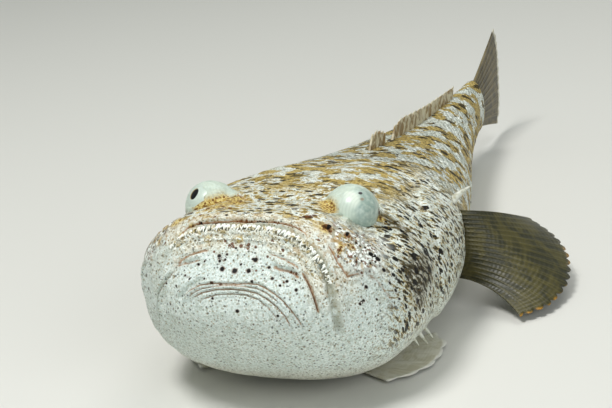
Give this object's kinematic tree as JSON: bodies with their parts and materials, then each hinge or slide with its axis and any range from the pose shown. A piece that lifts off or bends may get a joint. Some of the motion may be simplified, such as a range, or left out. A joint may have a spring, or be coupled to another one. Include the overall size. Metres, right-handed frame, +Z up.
{
  "type": "stargazer fish",
  "caption": "Still, life-size stargazer: blunt broad head with upturned fringed mouth, raised eyes on top, tapering body and spread fins, lying on its belly.",
  "frame": {"origin": "on the ground under the belly, at the middle line, where the flat of the belly rests", "axes": "+Y towards the tail, +X to the fish's left, +Z up"},
  "size_m": [0.1324, 0.2995, 0.0591],
  "materials": {
    "mottled_skin": "damp scaled skin, white with golden-brown net and dark spots",
    "pale_chin_skin": "smooth damp skin, bluish white with small dark spots",
    "clouded_eye": "wet clear cornea over a pale eye",
    "clear_eye": "wet clear cornea over a pale eye with a dark pupil",
    "fin_membrane": "thin damp membrane over raised rays"
  },
  "bodies": {
    "root": {"head": "mottled_skin", "lower_jaw": "pale_chin_skin", "gill_cover_left": "mottled_skin", "gill_cover_right": "mottled_skin", "eye_left": "clouded_eye", "eye_right": "clear_eye", "trunk_front": "mottled_skin", "trunk_rear": "mottled_skin", "tail_stalk": "mottled_skin", "first_dorsal_fin": "fin_membrane", "second_dorsal_fin": "fin_membrane", "anal_fin": "fin_membrane", "caudal_fin": "fin_membrane", "pectoral_fin_left": "fin_membrane", "pectoral_fin_right": "fin_membrane", "pelvic_fin_left": "fin_membrane", "pelvic_fin_right": "fin_membrane"}
  },
  "joints": []
}
